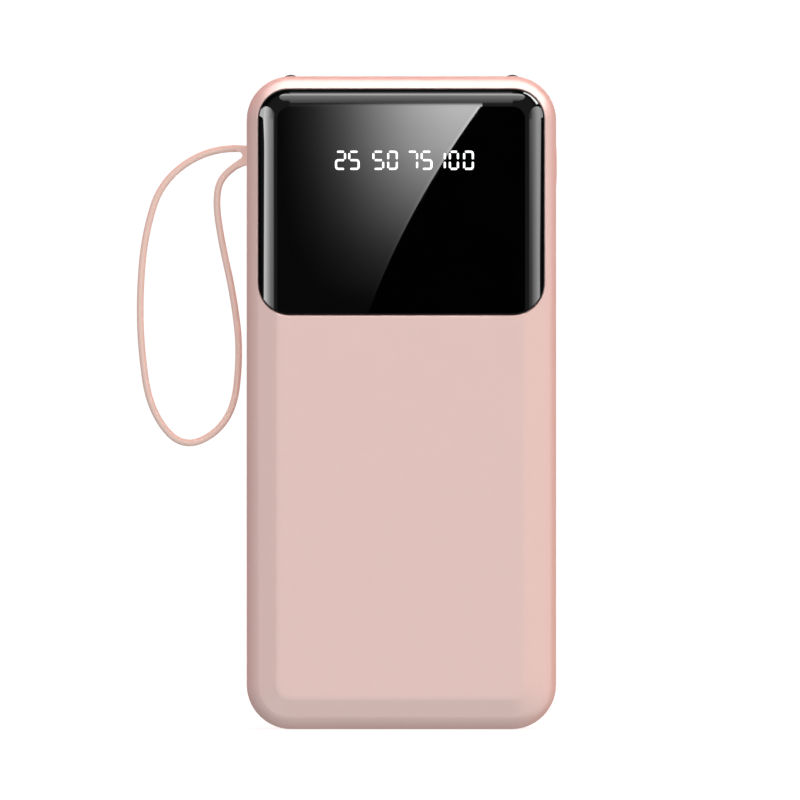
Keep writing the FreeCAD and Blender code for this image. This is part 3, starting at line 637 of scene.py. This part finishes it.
def make_world():
    """Surroundings with one light for matt surfaces, one for polished ones, and a backdrop."""
    world = bpy.data.worlds.new("studio")
    scene.world = world
    world.use_nodes = True
    nodes, links = world.node_tree.nodes, world.node_tree.links
    nodes.clear()

    def calculated(kind, inputs, operation):
        made = nodes.new(kind)
        made.operation = operation
        for key, value in enumerate(inputs):
            if isinstance(value, bpy.types.NodeSocket):
                links.new(value, made.inputs[key])
            else:
                made.inputs[key].default_value = value
        return made.outputs["Value" if operation == "DOT_PRODUCT" else 0]

    direction = nodes.new("ShaderNodeTexCoord").outputs["Generated"]
    path = nodes.new("ShaderNodeLightPath").outputs

    upright = calculated("ShaderNodeVectorMath", [direction, UPWARDS], "DOT_PRODUCT")
    poles = calculated("ShaderNodeMath", [upright, POLE_POWER], "POWER")
    behind = calculated("ShaderNodeVectorMath", [direction, -FORWARDS], "DOT_PRODUCT")
    behind = calculated("ShaderNodeMath", [behind, 0.0], "MAXIMUM")
    behind = calculated("ShaderNodeMath", [behind, REAR_POWER], "POWER")
    soft = nodes.new("ShaderNodeCombineColor")
    for i, (level, lean, pole_gain, rear_gain) in enumerate(SOFT):
        leaning = calculated("ShaderNodeVectorMath", [direction, lean], "DOT_PRODUCT")
        gained = calculated("ShaderNodeMath", [poles, pole_gain, level], "MULTIPLY_ADD")
        gained = calculated("ShaderNodeMath", [behind, rear_gain, gained], "MULTIPLY_ADD")
        lit = calculated("ShaderNodeMath", [leaning, gained], "ADD")
        links.new(calculated("ShaderNodeMath", [lit, 0.0], "MAXIMUM"), soft.inputs[i])

    ahead = calculated("ShaderNodeVectorMath", [direction, FORWARDS], "DOT_PRODUCT")
    angle = calculated("ShaderNodeMath", [ahead], "ARCCOSINE")
    ramp = nodes.new("ShaderNodeValToRGB")
    links.new(calculated("ShaderNodeMath", [angle, math.pi], "DIVIDE"), ramp.inputs[0])
    stops = ramp.color_ramp.elements
    while len(stops) < len(MIRRORED):
        stops.new(1.0)
    for stop, (degrees, level) in zip(stops, MIRRORED):
        stop.position = degrees / 180
        stop.color = (level, level, level, 1.0)

    seen = calculated("ShaderNodeVectorMath",
                      [path["Is Camera Ray"], (BACKDROP, BACKDROP, BACKDROP)], "MULTIPLY")
    lit = calculated("ShaderNodeVectorMath", [soft.outputs[0], path["Is Diffuse Ray"]],
                     "MULTIPLY")
    mirrored = calculated("ShaderNodeVectorMath", [ramp.outputs[0], path["Is Glossy Ray"]],
                          "MULTIPLY")
    total = calculated("ShaderNodeVectorMath", [seen, lit], "ADD")
    total = calculated("ShaderNodeVectorMath", [total, mirrored], "ADD")
    background = nodes.new("ShaderNodeBackground")
    links.new(total, background.inputs["Color"])
    output = nodes.new("ShaderNodeOutputWorld")
    links.new(background.outputs[0], output.inputs["Surface"])
    world.cycles.sampling_method = "NONE"


make_world()

# ---------------------------------------------------------------- mirrored soft boxes


def receivers(name, pieces):
    """A collection that lights can be kept to."""
    made = bpy.data.collections.new(name)
    for piece in pieces:
        made.objects.link(piece)
    return made


polished = receivers("polished", [frame["nodes"]["display_window"]])
satin = receivers("satin", [frame["nodes"][name] for name in (
    "front_shell", "rear_shell", "power_button", "usb_a_left_shell", "usb_a_right_shell",
    "usb_c_shell", "usb_a_left_contacts", "usb_a_right_contacts", "usb_c_contacts")])
frontal = receivers("frontal", list(satin.objects) + [strap_cord, strap_fork])

WINDOW_MIRRORS = 0.04                    # share of light that the window's polish returns


def glow_card(name, rows, levels, mirrors):
    """A sheet of light seen only in the given pieces, with a level at each point of its grid."""
    columns = len(rows[0])
    vertices = [point for row in rows for point in row]
    faces = [(r * columns + c, r * columns + c + 1, (r + 1) * columns + c + 1,
              (r + 1) * columns + c)
             for r in range(len(rows) - 1) for c in range(columns - 1)]
    mesh = mesh_from(name, vertices, faces)
    levels_at = mesh.attributes.new("glow", "FLOAT", "POINT")
    levels_at.data.foreach_set("value", [level for row in levels for level in row])
    card = link_mesh(name, mesh)
    material = bpy.data.materials.new(name)
    material.use_nodes = True
    nodes, links = material.node_tree.nodes, material.node_tree.links
    nodes.clear()
    level = nodes.new("ShaderNodeAttribute")
    level.attribute_name = "glow"
    emission = nodes.new("ShaderNodeEmission")
    clear = nodes.new("ShaderNodeBsdfTransparent")
    both = nodes.new("ShaderNodeAddShader")
    output = nodes.new("ShaderNodeOutputMaterial")
    links.new(level.outputs["Fac"], emission.inputs["Strength"])
    links.new(emission.outputs[0], both.inputs[0])
    links.new(clear.outputs[0], both.inputs[1])
    links.new(both.outputs[0], output.inputs["Surface"])
    material.cycles.emission_sampling = "NONE"
    mesh.materials.append(material)
    card.visible_camera = False
    card.visible_diffuse = False
    card.visible_shadow = False
    card.light_linking.receiver_collection = mirrors


# The broad soft box before the window. Its place and levels are given where the front view
# mirrors it: across and up the window in millimetres, as display levels out of 255.
GLOW_Y = -1.0                            # its own place, in metres
GLOW_ACROSS = [(-28, 2), (-26.2, 8), (-24.4, 15), (-22.2, 24), (-18.9, 39), (-15.7, 58),
               (-12.4, 76), (-9.1, 98), (-5.8, 118), (-2.5, 136), (0.8, 152), (4.0, 164),
               (7.3, 173), (10.6, 181), (13.9, 184), (18.5, 186)]
GLOW_UP = [(88, 0.0), (90.4, 0.03), (94.1, 0.09), (98.5, 0.20), (102.9, 0.285),
           (107.2, 0.39), (111.6, 0.51), (116.0, 0.62), (120.8, 0.74), (127.8, 0.90),
           (131.3, 0.94), (135.7, 1.0), (141.0, 1.02)]
GLOW_LEAST = 7                           # its lowest level
# The slanting edge: x as a parabola of the height over its middle.
GLOW_EDGE_MIDDLE, GLOW_EDGE = 113, (2.665, 0.5379, 0.004085)
GLOW_LINE, GLOW_LINE_FADE, GLOW_LINE_LIFT = 0.5, 0.2, 1.10    # the brighter line along it
GLOW_LEFT, GLOW_END = -28.0, 17.7        # the glow's left end, and its right one at the top
GLOW_END_FADE = 0.01
GLOW_ROWS, GLOW_COLUMNS = 27, 24


def shown_level(level):
    """The radiance of a card that the window shows at a display level out of 255."""
    return linear(level / 255) / WINDOW_MIRRORS


def make_front_glow():
    """The broad soft box, laid out so that the window shows each point of it in its place."""
    mirrored = Vector((CAMERA_AT.x, 2 * WINDOW_FACE * MM - CAMERA_AT.y, CAMERA_AT.z))
    stretch = (GLOW_Y - mirrored.y) / (WINDOW_FACE * MM - mirrored.y)
    rows, levels = [], []
    for i in range(GLOW_ROWS + 1):
        z = GLOW_UP[0][0] + (GLOW_UP[-1][0] - GLOW_UP[0][0]) * i / GLOW_ROWS
        rise = z - GLOW_EDGE_MIDDLE
        edge = GLOW_EDGE[0] + GLOW_EDGE[1] * rise + GLOW_EDGE[2] * rise ** 2
        width = edge - GLOW_LINE - GLOW_LINE_FADE - GLOW_LEFT
        across = [GLOW_LEFT + width * j / GLOW_COLUMNS for j in range(GLOW_COLUMNS + 1)]
        across += [edge - GLOW_LINE, edge]
        row, row_levels = [], []
        for j, x in enumerate(across):
            lift = GLOW_LINE_LIFT if j > GLOW_COLUMNS else 1.0
            at = Vector((x * MM, WINDOW_FACE * MM, z * MM))
            row.append(mirrored + (at - mirrored) * stretch)
            shown = max(GLOW_LEAST, between(GLOW_ACROSS, x) * between(GLOW_UP, z))
            row_levels.append(shown_level(shown * lift))
        rows.append(row)
        levels.append(row_levels)
    glow_card("front_glow", rows, levels, polished)


# The strips of light mirrored in the window's sloping edges. Each row gives the slope in
# degrees of the part of the edge that mirrors it, a display level out of 255, and where it
# starts and ends along the edge. The tips widen the side strips at their upper ends.
LEFT_STRIP = [
    (18.6, 30, -0.055, 0.100), (19.4, 60, -0.055, 0.123), (20.4, 94, -0.055, 0.138),
    (21.6, 122, -0.055, 0.150), (22.9, 148, -0.055, 0.156), (24.1, 170, -0.055, 0.157),
    (25.1, 184, -0.055, 0.156), (25.5, 180, -0.055, 0.155), (25.8, 0, -0.055, 0.155)]
LEFT_TIP = [(25.45, 0, 0.018, 0.155), (25.65, 180, 0.022, 0.154), (27.0, 172, 0.044, 0.140),
            (28.8, 172, 0.064, 0.105)]
RIGHT_STRIP = [
    (19.6, 20, -0.055, 0.105), (20.2, 38, -0.055, 0.122), (20.8, 53, -0.055, 0.132),
    (21.4, 74, -0.055, 0.141), (22.6, 101, -0.055, 0.151), (23.9, 119, -0.055, 0.156),
    (25.1, 140, -0.055, 0.156), (26.5, 140, -0.055, 0.152), (26.85, 0, -0.055, 0.151)]
RIGHT_TIP = [(26.4, 0, 0.026, 0.151), (26.65, 140, 0.028, 0.151), (27.6, 140, 0.042, 0.135),
             (28.8, 140, 0.050, 0.112)]
TOP_STRIP = [
    (20.6, 60, -0.100, 0.100), (21.3, 68, -0.119, 0.125), (21.8, 83, -0.127, 0.136),
    (22.4, 94, -0.133, 0.144), (23.0, 100, -0.137, 0.149), (24.0, 107, -0.137, 0.151),
    (24.6, 142, -0.130, 0.144), (25.0, 174, -0.121, 0.134), (25.4, 160, -0.109, 0.122),
    (25.7, 100, -0.093, 0.105), (26.0, 45, -0.073, 0.083), (26.4, 0, -0.053, 0.053)]
# How much of the broad glow is left in the fold between the window's flat and its top edge,
# by the slope in degrees.
FOLD = [(2.5, 1.0), (11.0, 0.88), (14.0, 0.68), (18.5, 0.48), (20.0, 0.40), (20.6, 0.41)]
FOLD_SHADE = 22                          # the least level at the fold's far side
FOLD_HALF = 30                           # how far it runs to each side, in millimetres
# The bright sheet at the top right corner: its slopes and turns in degrees, and its level.
CORNER_SLOPES, CORNER_TURNS, CORNER_LEVEL, CORNER_STEPS = (27.5, 30.5), (22, 57), 235, 8
STRIP_DISTANCE, STRIP_STEPS = 0.3, 16

# The middles of the sloping edges, and the rounded corner, in metres.
LEFT_EDGE, RIGHT_EDGE = Vector((-0.0294, -0.0100, 0.1150)), Vector((0.0294, -0.0100, 0.1150))
TOP_EDGE, TOP_CORNER = Vector((0.0, -0.0100, 0.1387)), Vector((0.0284, -0.0100, 0.1381))


def mirrored_from(centre, outwards, slope):
    """Where light must come from to be mirrored to the camera by an edge of that slope."""
    to_camera = (CAMERA_AT - centre).normalized()
    view = math.atan2(to_camera.dot(outwards), -to_camera.y)
    angle = 2 * math.radians(slope) - view
    return outwards * math.sin(angle) + FORWARDS * math.cos(angle)


def make_strip(name, strip, centre, outwards, along):
    """A curved strip light beyond one edge."""
    columns = [[(row[0], row[i]) for row in strip] for i in (1, 2, 3)]
    slopes = {row[0] for row in strip}
    slopes |= {strip[0][0] + (strip[-1][0] - strip[0][0]) * i / STRIP_STEPS
               for i in range(STRIP_STEPS)}
    rows, levels = [], []
    for slope in sorted(slopes):
        level, low, high = (between(column, slope) for column in columns)
        at = centre + mirrored_from(centre, outwards, slope) * STRIP_DISTANCE
        rows.append([at + along * low, at + along * high])
        levels.append([shown_level(level)] * 2)
    glow_card(name, rows, levels, polished)


def make_top_fold():
    """The glow's last part, mirrored in the fold below the window's top edge."""
    across = [x for x, level in GLOW_ACROSS if x < GLOW_END]
    across = [-FOLD_HALF, *across, GLOW_END, GLOW_END + GLOW_END_FADE, FOLD_HALF]
    spread = STRIP_DISTANCE / -CAMERA_AT.y
    places = [(x, x * MM + (x * MM - CAMERA_AT.x) * spread) for x in across]
    rows, levels = [], []
    for slope, share in FOLD:
        at = TOP_EDGE + mirrored_from(TOP_EDGE, UPWARDS, slope) * STRIP_DISTANCE
        shade = FOLD_SHADE * slope / FOLD[-1][0]
        rows.append([at + RIGHTWARDS * place for x, place in places])
        levels.append([shown_level(max(shade, between(GLOW_ACROSS, x) * share
                                       if x <= GLOW_END else 0)) for x, place in places])
    glow_card("top_fold", rows, levels, polished)


def make_corner_patch():
    """The small bright sheet that the window's top right corner mirrors."""
    start, end = CORNER_TURNS
    turns = [math.radians(start + (end - start) * i / CORNER_STEPS)
             for i in range(CORNER_STEPS + 1)]
    rows = []
    for slope in CORNER_SLOPES:
        row = []
        for turn in turns:
            outwards = UPWARDS * math.cos(turn) + RIGHTWARDS * math.sin(turn)
            row.append(TOP_CORNER + mirrored_from(TOP_CORNER, outwards, slope)
                       * STRIP_DISTANCE)
        rows.append(row)
    levels = [[shown_level(CORNER_LEVEL)] * len(turns)] * len(rows)
    glow_card("corner_patch", rows, levels, polished)


make_front_glow()
make_strip("left_strip", LEFT_STRIP, LEFT_EDGE, -RIGHTWARDS, UPWARDS)
make_strip("left_tip", LEFT_TIP, LEFT_EDGE, -RIGHTWARDS, UPWARDS)
make_strip("right_strip", RIGHT_STRIP, RIGHT_EDGE, RIGHTWARDS, UPWARDS)
make_strip("right_tip", RIGHT_TIP, RIGHT_EDGE, RIGHTWARDS, UPWARDS)
make_strip("top_strip", TOP_STRIP, TOP_EDGE, UPWARDS, RIGHTWARDS)
make_top_fold()
make_corner_patch()

# The soft boxes that the satin shell mirrors: half pipes round the shell, as radiances by the
# angle in degrees from straight ahead of the front.
FRONT_BOX = [(-50, 0), (-45, 2.5), (90, 2.5), (104, 0)]
TOP_BOX = [(30, 0), (36, 18), (76, 15), (98, 12), (108, 0)]
# Each one's level by the place along it in metres, as a share of that.
FRONT_BOX_ENDS = [(-0.85, 0), (-0.65, 1), (0.40, 1), (0.60, 0)]
TOP_BOX_ENDS = [(-0.66, 0), (-0.42, 0.52), (-0.12, 1), (0.90, 1), (1.30, 0)]
BOX_DISTANCE, BOX_STEPS = 0.6, 40
MIDDLE, TOP_MIDDLE = Vector((0, -0.011, 0.070)), Vector((0, -0.009, 0.142))


def make_box(name, box, centre, outwards, along, ends, mirrors):
    """A soft box bent round the line that runs along through the centre."""
    rows, levels = [], []
    for i in range(BOX_STEPS + 1):
        degrees = box[0][0] + (box[-1][0] - box[0][0]) * i / BOX_STEPS
        angle = math.radians(degrees)
        at = centre + (outwards * math.sin(angle) + FORWARDS * math.cos(angle)) * BOX_DISTANCE
        rows.append([at + along * place for place, share in ends])
        levels.append([between(box, degrees) * share for place, share in ends])
    glow_card(name, rows, levels, mirrors)


make_box("front_box", FRONT_BOX, MIDDLE, RIGHTWARDS, UPWARDS, FRONT_BOX_ENDS, frontal)
make_box("top_box", TOP_BOX, TOP_MIDDLE, UPWARDS, RIGHTWARDS, TOP_BOX_ENDS, satin)

scene.view_settings.view_transform = "Standard"
